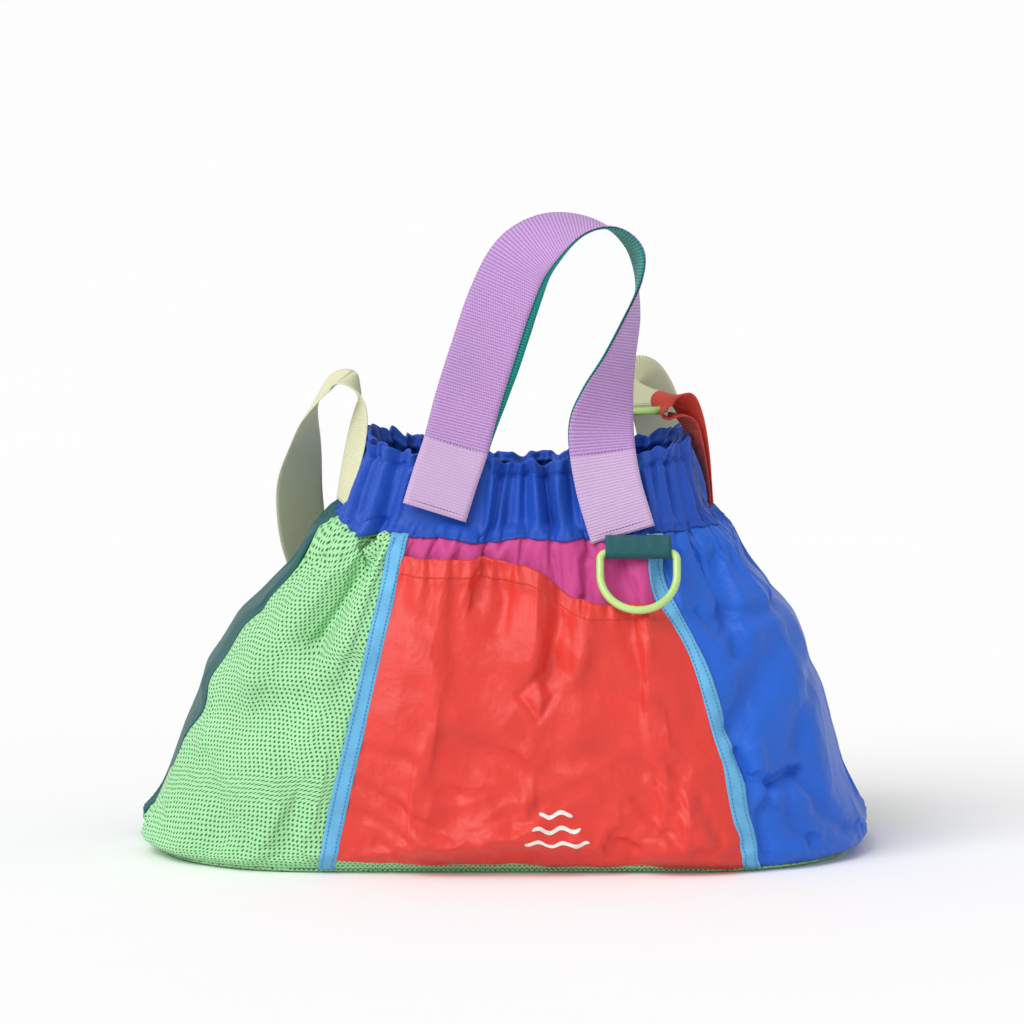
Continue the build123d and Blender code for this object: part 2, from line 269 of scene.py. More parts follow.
RIDGES = [
    ([(204, 224), (228, 206), (242, 182)], 24.0, 13.0),
    ([(190, 92), (200, 60), (232, 50)], 8.0, 6.0),
    ([(-138, 232), (-168, 196), (-190, 150)], 13.0, 6.0),
    ([(-108, 214), (-120, 172), (-142, 150)], 11.0, 5.0),
    ([(-244, 142), (-206, 142), (-168, 148)], 13.0, 4.0),
]


def crease(x, z, line, width):
    """Closeness to a fold line in the front view, from 0 far away to 1 on it."""
    nearest = np.full(np.shape(x), 1e9)
    for (x0, z0), (x1, z1) in zip(line[:-1], line[1:]):
        length2 = (x1 - x0) ** 2 + (z1 - z0) ** 2
        share = np.clip(((x - x0) * (x1 - x0) + (z - z0) * (z1 - z0)) / length2, 0, 1)
        away = np.hypot(x - x0 - share * (x1 - x0), z - z0 - share * (z1 - z0))
        nearest = np.minimum(nearest, away)
    return np.exp(-((nearest / width) ** 2))


def cloud(x, z, size, seed):
    """Smooth noise over the front view, from about -1 to 1."""
    flat = np.stack([np.ravel(x), np.zeros(np.size(x)), np.ravel(z)], 1) / size + seed * 7.31
    values = np.array([noise.noise(Vector(point)) for point in flat])
    return values.reshape(np.shape(x)) * 1.6


# The simulated cloth's offsets from the smooth body, on a grid of turns and heights
SIM_TURNS = 300
SIM_ROWS = 72
SIM_FRAMES = 22
SIM_LIMIT = 15.0
sim = {}


def body_point(turn, height, out=0.0):
    """Points of the creased body, in millimetres, lifted off its fabric by out."""
    turn = np.asarray(turn, float)
    height = np.asarray(height, float)
    x, y, nx, ny = section(turn, height)
    push = neck_push(turn, height, x, y)
    grounded = np.clip(height / 16.0, 0, 1)
    forward = np.clip(-ny * 2 + 0.6, 0, 1)
    for line, width, depth in FOLDS:
        push -= depth * crease(x, height, line, width) * forward
    for line, width, depth in RIDGES:
        push += depth * crease(x, height, line, width) * forward
    offset = sim_offset(turn, height)
    push = push * grounded + out
    points_x = x + nx * push + offset[..., 0]
    points_y = y + ny * push + offset[..., 1]
    return np.stack([points_x, points_y, np.maximum(height + offset[..., 2], CLOTH_LOW)], -1)


def sim_offset(turn, height):
    """Offsets of the simulated cloth, read off its grid, or none before it has run."""
    if not sim:
        return np.zeros(np.shape(turn) + (3,))
    grid = sim["offset"]
    rows = sim["heights"]
    column = (turn % 1.0) * SIM_TURNS
    left = np.floor(column).astype(int) % SIM_TURNS
    right = (left + 1) % SIM_TURNS
    across = (column - np.floor(column))[..., None]
    row = np.interp(height, rows, np.arange(len(rows)))
    low = np.clip(np.floor(row).astype(int), 0, len(rows) - 2)
    up = (row - low)[..., None]
    below = grid[low, left] * (1 - across) + grid[low, right] * across
    above = grid[low + 1, left] * (1 - across) + grid[low + 1, right] * across
    return below * (1 - up) + above * up


# ------------------------------------------------------------------ mesh helpers
def new_object(name, vertices, faces, uvs=None):
    """Object from points in millimetres; uvs are one pair per vertex, in metres of fabric."""
    data = bpy.data.meshes.new(name)
    data.from_pydata([tuple(float(c) * MM for c in v) for v in vertices], [], faces)
    if uvs is not None:
        layer = data.uv_layers.new(name="cloth")
        flat = np.array(uvs, float)
        index = np.zeros(len(data.loops), int)
        data.loops.foreach_get("vertex_index", index)
        layer.data.foreach_set("uv", flat[index].ravel())
    data.polygons.foreach_set("use_smooth", [True] * len(data.polygons))
    data.update()
    obj = bpy.data.objects.new(name, data)
    bpy.context.scene.collection.objects.link(obj)
    return obj


def grid_faces(rows, columns, wrap=False):
    """Faces of a grid of rows by columns of vertices."""
    faces = []
    last = columns if wrap else columns - 1
    for row in range(rows - 1):
        for column in range(last):
            here = row * columns + column
            there = row * columns + (column + 1) % columns
            faces.append((here, there, there + columns, here + columns))
    return faces


def grid_object(name, points, uvs, wrap=False):
    """Object from a rows by columns array of points."""
    rows, columns = points.shape[:2]
    return new_object(name, points.reshape(-1, 3), grid_faces(rows, columns, wrap), uvs.reshape(-1, 2))


def apply_modifiers(obj):
    """Bakes the modifiers into the mesh."""
    depsgraph = bpy.context.evaluated_depsgraph_get()
    baked = bpy.data.meshes.new_from_object(obj.evaluated_get(depsgraph))
    obj.modifiers.clear()
    old = obj.data
    obj.data = baked
    bpy.data.meshes.remove(old)
    return obj


def thicken(obj, thickness, subdivide=0, offset=-1.0):
    """Gives a sheet its cloth thickness, and smooths it."""
    solid = obj.modifiers.new("thickness", "SOLIDIFY")
    solid.thickness = thickness * MM
    solid.offset = offset
    solid.use_even_offset = False
    if subdivide:
        smooth = obj.modifiers.new("smooth", "SUBSURF")
        smooth.levels = smooth.render_levels = subdivide
    return apply_modifiers(obj)


def join(name, objects):
    """One object out of several."""
    with bpy.context.temp_override(
        active_object=objects[0],
        object=objects[0],
        selected_objects=objects,
        selected_editable_objects=objects,
    ):
        bpy.ops.object.join()
    objects[0].name = name
    objects[0].data.name = name
    return objects[0]


def smooth_path(points, count):
    """Catmull-Rom curve through rows of numbers, sampled evenly along its length."""
    keys = np.array(points, float)
    keys = np.vstack([2 * keys[0] - keys[1], keys, 2 * keys[-1] - keys[-2]])
    samples = []
    for index in range(1, len(keys) - 2):
        before, here, there, after = keys[index - 1 : index + 3]
        for share in np.linspace(0, 1, 24, endpoint=False):
            samples.append(
                0.5
                * (
                    2 * here
                    + (there - before) * share
                    + (2 * before - 5 * here + 4 * there - after) * share**2
                    + (3 * here - before - 3 * there + after) * share**3
                )
            )
    samples.append(keys[-2])
    samples = np.array(samples)
    steps = np.linalg.norm(np.diff(samples[:, :3], axis=0), axis=1)
    along = np.concatenate([[0], np.cumsum(steps)])
    even = np.linspace(0, along[-1], count)
    return np.stack([np.interp(even, along, samples[:, k]) for k in range(samples.shape[1])], 1), along[-1]


def cloth_lengths(points):
    """Distance along each row of points, in metres."""
    steps = np.linalg.norm(np.diff(points, axis=1), axis=2) * MM
    return np.concatenate([np.zeros((len(points), 1)), np.cumsum(steps, 1)], 1)


def section_places(places):
    """Face and place of each point round a strip's section: along one face, back on the other."""
    return [(-1, place) for place in places] + [(1, place) for place in places[::-1]]


def closed_strip(name, rings, uvs):
    """Strip through rings of points, with both its ends closed."""
    rings = np.stack(rings, 1)
    rows, columns = rings.shape[:2]
    faces = grid_faces(rows, columns, wrap=True)
    faces.append(tuple(range(columns))[::-1])
    faces.append(tuple((rows - 1) * columns + k for k in range(columns)))
    return new_object(name, rings.reshape(-1, 3), faces, np.stack(uvs, 1).reshape(-1, 2))


def unit(vectors):
    """Vectors scaled to a length of 1."""
    return vectors / np.maximum(np.linalg.norm(vectors, axis=-1, keepdims=True), 1e-9)


def webbing_frame(path):
    """The webbing's middle line, and the directions of its edge and its face along it."""
    points = path[:, :3]
    along = unit(np.gradient(points, axis=0))
    side = unit(np.cross(np.array([0.0, 1.0, 0.0]), along))
    turn = np.radians(path[:, 3])[:, None]
    edge = side * np.cos(turn) - np.cross(along, side) * np.sin(turn)
    return points, edge, np.cross(along, edge)


def ribbon(
    name, stations, width, thickness, shift=0.0, step=2.5, across=13, cup=0.0, slips=None, part=(0.0, 1.0)
):
    """Webbing along stations of X, Y, Z and turn: a closed strip with rounded selvedges.

    The part is the stretch to make, as shares of the whole length.
    """
    _, length = smooth_path(stations, 50)
    path, length = smooth_path(stations, max(int(length / step), 8))
    points, edge, normal = webbing_frame(path)
    distance = np.linspace(0, length, len(points))
    if slips is not None:
        keys = np.linspace(0, length, len(slips))
        points = points + edge * np.interp(distance, keys, slips)[:, None]
    first, last = (round(share * (len(points) - 1)) for share in part)
    kept = slice(first, last + 1)
    rings = []
    uvs = []
    for face, place in section_places(np.linspace(-1, 1, across)):
        slim = thickness / 2 * (1 - 0.55 * abs(place) ** 14)
        bow = cup * (place**2 - 0.4)
        at = points + edge * place * width / 2 + normal * (shift + face * slim + bow)
        rings.append(at[kept])
        uvs.append(np.stack([np.full(len(points), place * width / 2 * MM), distance * MM], 1)[kept])
    return closed_strip(name, rings, uvs)


def ring_rod(name, points, radius, sides=16):
    """Round rod along a flat closed loop of points."""
    ahead = unit(np.roll(points, -1, axis=0) - np.roll(points, 1, axis=0))
    flat = unit(np.cross(points[len(points) // 4] - points[0], points[len(points) // 2] - points[0]))
    out = np.cross(ahead, flat)
    angles = np.linspace(0, 2 * math.pi, sides, endpoint=False)
    rings = [points + radius * (math.cos(a) * out + math.sin(a) * flat) for a in angles]
    grid = np.stack(rings, 1)
    rows, columns = grid.shape[:2]
    faces = grid_faces(rows, columns, wrap=True)
    last = (rows - 1) * columns
    for column in range(columns):
        there = (column + 1) % columns
        faces.append((last + column, last + there, there, column))
    return new_object(name, grid.reshape(-1, 3), faces)


# ------------------------------------------------------------------ materials
def srgb(red, green, blue):
    """Linear colour from 0 to 255 display values."""
    values = [c / 255 for c in (red, green, blue)]
    return tuple(c / 12.92 if c <= 0.04045 else ((c + 0.055) / 1.055) ** 2.4 for c in values) + (1.0,)


class Nodes:
    """Short calls for building one material's node tree."""

    def __init__(self, name, roughness, specular=0.4, sheen=0.0, coat=0.0):
        self.material = bpy.data.materials.new(name)
        self.material.use_nodes = True
        self.tree = self.material.node_tree
        self.shader = self.tree.nodes["Principled BSDF"]
        self.shader.inputs["Roughness"].default_value = roughness
        self.shader.inputs["Specular IOR Level"].default_value = specular
        self.shader.inputs["Sheen Weight"].default_value = sheen
        self.shader.inputs["Coat Weight"].default_value = coat

    def add(self, kind, **settings):
        node = self.tree.nodes.new(kind)
        for key, value in settings.items():
            setattr(node, key, value)
        return node

    def link(self, source, target):
        self.tree.links.new(source, target)

    def math(self, operation, first, second=None, clamp=False):
        node = self.add("ShaderNodeMath", operation=operation, use_clamp=clamp)
        for index, value in enumerate((first, second)):
            if value is None:
                continue
            if isinstance(value, (int, float)):
                node.inputs[index].default_value = value
            else:
                self.link(value, node.inputs[index])
        return node.outputs[0]

    def uv(self):
        node = self.add("ShaderNodeUVMap", uv_map="cloth")
        split = self.add("ShaderNodeSeparateXYZ")
        self.link(node.outputs[0], split.inputs[0])
        return split.outputs[0], split.outputs[1], node.outputs[0]

    def noise(self, scale, detail=3.0, rough=0.55):
        place = self.add("ShaderNodeTexCoord")
        node = self.add("ShaderNodeTexNoise")
        node.inputs["Scale"].default_value = scale
        node.inputs["Detail"].default_value = detail
        node.inputs["Roughness"].default_value = rough
        self.link(place.outputs["Object"], node.inputs["Vector"])
        return node.outputs["Fac"]

    def ramp(self, value, stops):
        node = self.add("ShaderNodeValToRGB")
        elements = node.color_ramp.elements
        while len(elements) < len(stops):
            elements.new(0.5)
        for element, (position, colour) in zip(elements, stops):
            element.position = position
            element.color = colour
        self.link(value, node.inputs["Fac"])
        return node.outputs["Color"]

    def mix(self, factor, first, second, kind="MIX"):
        node = self.add("ShaderNodeMix", data_type="RGBA", blend_type=kind)
        for index, value in ((0, factor), (6, first), (7, second)):
            if isinstance(value, (int, float, tuple)):
                node.inputs[index].default_value = value
            else:
                self.link(value, node.inputs[index])
        return node.outputs[2]

    def bump(self, height, distance, strength=1.0, after=None):
        node = self.add("ShaderNodeBump")
        node.inputs["Distance"].default_value = distance
        node.inputs["Strength"].default_value = strength
        self.link(height, node.inputs["Height"])
        if after is not None:
            self.link(after, node.inputs["Normal"])
        return node.outputs[0]

    def finish(self, colour, normal=None, roughness=None):
        self.link(colour, self.shader.inputs["Base Color"])
        if normal is not None:
            self.link(normal, self.shader.inputs["Normal"])
        if roughness is not None:
            self.link(roughness, self.shader.inputs["Roughness"])
        return self.material


def scaled(colour, factor):
    """Colour made lighter or darker."""
    return tuple(min(c * factor, 1.0) for c in colour[:3]) + (1.0,)


def woven_nylon(name, colour, roughness, sheen, crumple, pitch=0.0007):
    """Light plain-weave nylon: fine threads, faint blotches and small crumples."""
    n = Nodes(name, roughness, specular=0.35, sheen=sheen)
    n.shader.inputs["Sheen Roughness"].default_value = 0.4
    u, v, _ = n.uv()
    warp = n.math("SINE", n.math("MULTIPLY", u, 2 * math.pi / pitch))
    weft = n.math("SINE", n.math("MULTIPLY", v, 2 * math.pi / pitch))
    threads = n.math("MULTIPLY_ADD", n.math("MULTIPLY", warp, weft), 0.5)
    blotch = n.noise(26.0, 4.0, 0.6)
    tone = n.ramp(blotch, [(0.3, scaled(colour, 0.95)), (0.7, scaled(colour, 1.04))])
    crinkle = n.noise(60.0, 4.0, 0.55)
    wrinkled = n.bump(crinkle, crumple, 0.55)
    normal = n.bump(threads, 0.00012, 0.5, wrinkled)
    rough = n.math("MULTIPLY_ADD", n.noise(40.0, 2.0), 0.1)
    rough.node.inputs[2].default_value = roughness - 0.05
    return n.finish(tone, normal, rough)


def webbing(name, colour, dark, pitch=0.0023, side_pitch=0.0016, feet=None):
    """Ribbed webbing: cross ribs of weft with the warp's ends between them."""
    n = Nodes(name, 0.72, specular=0.25, sheen=0.15)
    u, v, _ = n.uv()
    rib = n.math("SINE", n.math("MULTIPLY", v, 2 * math.pi / pitch))
    half = n.math("MULTIPLY", n.math("ROUND", n.math("DIVIDE", v, pitch)), math.pi)
    end = n.math("SINE", n.math("ADD", n.math("MULTIPLY", u, 2 * math.pi / side_pitch), half))
    ribbed = n.math("MULTIPLY_ADD", rib, 0.34)
    ribbed.node.inputs[2].default_value = 0.5
    height = n.math("MULTIPLY_ADD", end, 0.16)
    n.link(ribbed, height.node.inputs[2])
    fuzz = n.noise(900.0, 2.0, 0.7)
    shade = n.math("ADD", height, n.math("MULTIPLY", n.math("SUBTRACT", fuzz, 0.5), 0.5), clamp=True)
    weave = n.ramp(shade, [(0.08, dark), (0.42, scaled(colour, 0.93)), (0.85, scaled(colour, 1.08))])
    if feet:
        pale, first, last = feet
        on_foot = n.math("MAXIMUM", n.math("LESS_THAN", v, first), n.math("GREATER_THAN", v, last))
        weave = n.mix(n.math("MULTIPLY", on_foot, 0.62), weave, pale)
    tone = n.ramp(n.noise(18.0, 3.0), [(0.25, (0.9, 0.9, 0.9, 1)), (0.75, (1.0, 1.0, 1.0, 1))])
    return n.finish(n.mix(1.0, weave, tone, "MULTIPLY"), n.bump(height, 0.0005, 0.8))


def mesh_cloth(name, colour, hole_shade, pitch=0.0037, hole_share=0.225):
    """Knitted mesh: rows of round holes, each row half a pitch along, filled with painted shade: a dark
    colour for the shaded inside seen through them.
    """
    n = Nodes(name, 0.8, specular=0.2, sheen=0.25)
    u, v, vector = n.uv()
    wobble = n.add("ShaderNodeTexNoise")
    wobble.inputs["Scale"].default_value = 120.0
    n.link(vector, wobble.inputs["Vector"])
    drift = n.math("MULTIPLY", n.math("SUBTRACT", wobble.outputs["Fac"], 0.5), pitch * 0.5)
    u = n.math("ADD", u, drift)
    v = n.math("ADD", v, drift)
    tall = pitch * math.sqrt(3)
    found = []
    for shift in (0.0, 0.5):
        across = n.math("SUBTRACT", n.math("FRACT", n.math("ADD", n.math("DIVIDE", u, pitch), shift)), 0.5)
        upward = n.math("SUBTRACT", n.math("FRACT", n.math("ADD", n.math("DIVIDE", v, tall), shift)), 0.5)
        upward = n.math("MULTIPLY", upward, math.sqrt(3))
        squares = n.math("ADD", n.math("MULTIPLY", across, across), n.math("MULTIPLY", upward, upward))
        found.append(n.math("SQRT", squares))
    nearest = n.math("MINIMUM", found[0], found[1])
    edge = n.math("DIVIDE", n.math("SUBTRACT", nearest, hole_share - 0.06), 0.12, clamp=True)
    yarn = n.ramp(n.noise(700.0, 2.0), [(0.3, scaled(colour, 0.84)), (0.75, scaled(colour, 1.1))])
    patch = n.ramp(n.noise(14.0, 3.0), [(0.3, scaled(colour, 0.86)), (0.7, scaled(colour, 1.05))])
    yarn = n.mix(0.5, yarn, patch)
    # The holes are opaque; their dark colour is painted shade for the inside of the bag seen through them.
    return n.finish(n.mix(edge, hole_shade, yarn), n.bump(edge, 0.0006, 0.9))


def twill(name, colour, light):
    """Grosgrain with a herringbone of diagonal threads."""
    n = Nodes(name, 0.6, specular=0.35, sheen=0.1)
    u, v, _ = n.uv()
    zigzag = n.math("PINGPONG", u, 0.006)
    slant = n.math("MULTIPLY", n.math("ADD", v, zigzag), 2 * math.pi / 0.0019)
    lines = n.math("MULTIPLY_ADD", n.math("SINE", slant), 0.5)
    lines.node.inputs[2].default_value = 0.5
    return n.finish(n.ramp(lines, [(0.2, colour), (0.9, light)]), n.bump(lines, 0.0004, 0.8))


def tape(name, colour):
    """Soft ribbed binding tape."""
    n = Nodes(name, 0.66, specular=0.3, sheen=0.2)
    u, v, _ = n.uv()
    rib = n.math("SINE", n.math("MULTIPLY", v, 2 * math.pi / 0.0011))
    tone = n.ramp(n.noise(45.0, 4.0), [(0.3, scaled(colour, 0.84)), (0.72, scaled(colour, 1.08))])
    crinkle = n.bump(n.noise(120.0, 3.0), 0.0008, 0.5)
    return n.finish(tone, n.bump(rib, 0.0001, 0.5, crinkle))


def coated(name, colour):
    """Thick glossy coating over a metal rod, a little uneven and scuffed."""
    n = Nodes(name, 0.32, specular=0.5, coat=0.25)
    n.shader.inputs["Coat Roughness"].default_value = 0.18
    tone = n.ramp(n.noise(60.0, 3.0), [(0.3, scaled(colour, 0.92)), (0.7, scaled(colour, 1.06))])
    scuffs = n.math("MULTIPLY_ADD", n.noise(220.0, 5.0, 0.7), 0.3)
    scuffs.node.inputs[2].default_value = 0.18
    return n.finish(tone, n.bump(n.noise(150.0, 3.0), 0.0003, 0.35), scuffs)


def thread(name, colour):
    """Twisted sewing thread or print, with a fine grain."""
    n = Nodes(name, 0.6, specular=0.3)
    grain = n.noise(1500.0, 2.0)
    tone = n.ramp(grain, [(0.3, scaled(colour, 0.8)), (0.7, scaled(colour, 1.08))])
    return n.finish(tone, n.bump(grain, 0.0002, 0.6))


_, HANDLE_LENGTH = smooth_path(HANDLE, 2)
M = {
    # The mesh's dark hole colour is painted shade: the shaded inside of the bag seen through the holes.
    "mesh": mesh_cloth("green_mesh", srgb(166, 228, 166), srgb(44, 104, 60)),
    "teal": woven_nylon("teal_nylon", srgb(26, 88, 88), 0.6, 0.15, 0.002),
    "magenta": woven_nylon("magenta_nylon", srgb(200, 66, 138), 0.55, 0.2, 0.002),
    "blue": woven_nylon("blue_nylon", srgb(28, 98, 208), 0.44, 0.12, 0.004),
    # The collar's nylon is a darker copy of the blue nylon: painted shade for the shade in its gathers.
    "collar": woven_nylon("collar_shaded_nylon", srgb(20, 76, 182), 0.46, 0.1, 0.003),
    "orange": woven_nylon("orange_nylon", srgb(222, 62, 52), 0.34, 0.1, 0.003),
    "lilac": webbing(
        "lilac_webbing",
        srgb(198, 156, 214),
        srgb(152, 110, 170),
        0.0023,
        0.0019,
        (srgb(216, 190, 220), LEFT_FOOT * MM, (HANDLE_LENGTH - RIGHT_FOOT) * MM),
    ),
    "tealweb": webbing("teal_webbing", srgb(20, 150, 138), srgb(0, 84, 82)),
    "cream": webbing("cream_webbing", srgb(238, 238, 200), srgb(214, 214, 166), 0.0012, 0.0012),
    "red": webbing("red_webbing", srgb(236, 80, 62), srgb(186, 46, 34), 0.0016, 0.0014),
    "sky": tape("sky_tape", srgb(104, 180, 224)),
    "grosgrain": twill("grosgrain", srgb(8, 58, 66), srgb(26, 112, 116)),
    "lime": coated("lime_coated_ring", srgb(186, 220, 132)),
    "white": thread("white_print", srgb(244, 238, 230)),
    "plum": thread("lilac_thread", srgb(128, 96, 150)),
    "skythread": thread("sky_thread", srgb(70, 150, 204)),
    "orangethread": thread("orange_thread", srgb(214, 92, 60)),
}


def dress(obj, material, body="bag", replaces=()):
    """Material slot, body and CAD nodes of one finished piece; one given no body is left unattached."""
    obj.data.materials.clear()
    obj.data.materials.append(M[material])
    if body:
        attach(obj, body)
    if replaces:
        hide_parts(*replaces)


# ------------------------------------------------------------------ cloth simulation of the filled body
def simulate_body():
    """Lets the body's fabric buckle into wrinkles: it is cut larger than the shape it hangs in."""
    heights = np.concatenate([np.linspace(0, 12, 5), np.linspace(16, NECK_Z, SIM_ROWS - 5)])
    turns = np.arange(SIM_TURNS) / SIM_TURNS
    grid_t, grid_h = np.meshgrid(turns, heights)
    start = body_point(grid_t, grid_h)
    uv = np.stack([grid_t, grid_h * MM], -1)
    obj = grid_object("cloth_trial", start, uv, wrap=True)
    pins = obj.vertex_groups.new(name="pins")
    for row, height in enumerate(heights):
        weight = 1.0 if height <= 4 or height >= NECK_Z - 2 else 0.0
        if height > NECK_Z - 26 and weight == 0.0:
            weight = 0.35
        if weight:
            pins.add(range(row * SIM_TURNS, (row + 1) * SIM_TURNS), weight, "REPLACE")
    cloth = obj.modifiers.new("cloth", "CLOTH")
    settings = cloth.settings
    settings.quality = 6
    settings.mass = 0.12
    settings.tension_stiffness = 18
    settings.compression_stiffness = 18
    settings.shear_stiffness = 6
    settings.bending_stiffness = 0.35
    settings.vertex_group_mass = "pins"
    settings.shrink_min = -0.09
    settings.use_pressure = True
    settings.uniform_pressure_force = 1.2
    settings.effector_weights.gravity = 0.5
    cloth.collision_settings.use_collision = False
    cloth.collision_settings.use_self_collision = False
    scene = bpy.context.scene
    for number in range(1, SIM_FRAMES + 1):
        scene.frame_set(number)
    depsgraph = bpy.context.evaluated_depsgraph_get()
    evaluated = obj.evaluated_get(depsgraph)
    moved = np.zeros(len(obj.data.vertices) * 3)
    evaluated.data.vertices.foreach_get("co", moved)
    moved = moved.reshape(start.shape) / MM
    offset = moved - start
    size = np.linalg.norm(offset, axis=-1, keepdims=True)
    offset *= SIM_LIMIT * np.tanh(size / SIM_LIMIT) / np.maximum(size, 1e-6)
    # The slow drift of the whole wall is mostly taken out, and the wrinkles are kept and raised
    drift = offset.copy()
    for _ in range(3):
        around = np.concatenate([drift[:, -12:], drift, drift[:, :12]], 1)
        drift = np.stack([around[:, k : k + SIM_TURNS] for k in range(25)]).mean(0)
        tall = np.concatenate([drift[:1].repeat(5, 0), drift, drift[-1:].repeat(5, 0)])
        drift = np.stack([tall[k : k + len(heights)] for k in range(11)]).mean(0)
    grounded = np.clip((heights - 3.0) / 25.0, 0, 1)[:, None, None]
    offset = ((offset - drift) * 1.5 + drift * 0.15) * grounded
    scene.frame_set(1)
    bpy.data.objects.remove(obj)
    sim["offset"] = offset
    sim["heights"] = heights


simulate_body()


# ------------------------------------------------------------------ the sewn panels
def seam_x(seam, height):
    """X of a seam at a height, its corners rounded off."""
    xs, zs = zip(*seam)
    near = np.asarray(height, float)[..., None] + np.linspace(-16, 16, 9)
    return np.interp(near, zs, xs).mean(-1)


def left_turn(height):
    """The left front seam."""
    return np.array([turn_at_x(seam_x(LEFT_SEAM, h), h) for h in np.atleast_1d(height)])


def right_turn(height):
    """The right front seam."""
    return np.array([turn_at_x(seam_x(RIGHT_SEAM, h), h) for h in np.atleast_1d(height)])


def back_left_turn(height):
    """The left back seam: it runs just in front of the silhouette."""
    return np.interp(height, [0, 20, 56, 76, 150, NECK_Z], [-0.276, -0.27, -0.252, -0.208, -0.196, -0.212])


def back_right_turn(height):
    """The right back seam, out of sight from the front."""
    return np.interp(height, [0, NECK_Z], [0.305, 0.295])


def neck_height(turn):
    """Height of the seam between the panels and the collar."""
    lap = 2 * math.pi * np.asarray(turn, float)
    dip = np.clip(np.cos(lap), 0, 1)
    scallop = 1.8 * np.sin(lap * 9 + 0.8) + 1.2 * np.sin(lap * 17 + 2.0)
    return NECK_Z - 3 - 12 * dip + scallop


NYLON = 0.8
MESH = 0.9
PANEL_LOW = 3.0
SKIRT_Z = 17.0
TUCK = 4.5


def panel(name, start, end, columns, rows, out=0.0):
    """Sheet between two seams, from the floor to under the collar."""
    heights = np.concatenate([np.linspace(PANEL_LOW, 14, 6), np.linspace(SKIRT_Z, NECK_Z, rows - 6)])
    first = start(heights)
    last = end(heights)
    share = np.linspace(0, 1, columns)
    turn = first[:, None] * (1 - share) + last[:, None] * share
    top = neck_height(turn) + 3.0
    stretch = (top - SKIRT_Z) / (NECK_Z - SKIRT_Z)
    height = heights[:, None] + 0 * turn
    height = np.where(height > SKIRT_Z, SKIRT_Z + (height - SKIRT_Z) * stretch, height)
    points = body_point(turn, height, out - 1.6 * np.clip((height - top + TUCK) / TUCK, 0, 1))
    # Lengths that follow the creased surface, so that the cloth's pattern keeps its pitch
    along = cloth_lengths(points)
    across = along - along[:, columns // 2][:, None]
    return grid_object(name, points, np.stack([across, height * MM], -1))


front = panel("front_panel_cloth", left_turn, right_turn, 150, 130)
thicken(front, NYLON)
dress(front, "magenta", replaces=["front_panel"])

mesh_side = panel("mesh_side_cloth", back_left_turn, left_turn, 190, 190)
thicken(mesh_side, MESH)
dress(mesh_side, "mesh", replaces=["mesh_side_panel"])

nylon_side = panel("nylon_side_cloth", right_turn, back_right_turn, 190, 190)
thicken(nylon_side, NYLON)
dress(nylon_side, "blue", replaces=["nylon_side_panel"])

back = panel("back_panel_cloth", back_right_turn, lambda h: back_left_turn(h) + 1.0, 260, 150, out=0.6)
thicken(back, NYLON)
dress(back, "teal", replaces=["back_panel"])


def pocket_bottom(x_share):
    """Height of the pocket's uneven bottom seam, higher on the left."""
    return 14.0 - 11.0 * np.sqrt(x_share) + 1.3 * np.sin(x_share * 19) + 0.9 * np.sin(x_share * 43 + 1)


def build_base():
    """Flat base with its edge rolled up to the walls."""
    columns = 240
    turns = np.arange(columns) / columns
    rings = []
    for share in (0.0, 0.25, 0.5, 0.7, 0.85, 0.94, 0.985, 1.0):
        ring = body_point(turns, np.full(columns, 3.2), 0.3)
        middle = np.array([0.0, MIDDLE_Y, CLOTH_LOW])
        flat = middle + (ring - middle) * max(share, 0.004)
        flat[:, 2] = CLOTH_LOW if share < 0.98 else (1.6 if share < 1 else 3.4)
        rings.append(flat)
    points = np.array(rings)
    return grid_object("base_cloth", points, points[..., :2] * MM, wrap=True)


def build_base_edge():
    """The base's cloth turned up at the front, as far as the pocket's bottom seam."""
    share_x = np.linspace(0, 1, 150)
    up = np.linspace(0, 1, 8)[:, None]
    left = seam_x(LEFT_SEAM, 8.0)
    right = seam_x(RIGHT_SEAM, 8.0)
    lowest = 1.5
    height = lowest + (pocket_bottom(share_x) + 3.0 - lowest) * up
    low_x = left + (right - left) * share_x + 0 * up
    turn = np.vectorize(turn_at_x)(low_x, height)
    points = body_point(turn, height, 1.0)
    return grid_object("base_edge", points, np.stack([low_x, height], -1) * MM)


base = build_base()
thicken(base, MESH, offset=1.0)
base_edge = build_base_edge()
thicken(base_edge, 0.7)
base = join("base_cloth", [base, base_edge])
dress(base, "mesh", replaces=["base_panel"])


# ------------------------------------------------------------------ gathered collar
def rim_height(turn):
    """The rim is pulled up at the sides and sinks at the front and back."""
    lap = 2 * math.pi * np.asarray(turn, float)
    sideways = np.sin(lap) ** 2
    return 305 + 15 * sideways - 13 * np.clip(-np.cos(lap), 0, 1) * (1 - sideways)


# Share of the collar's height where the elastic's casing ends and the free ruffle begins
CASING_TOP = 0.84


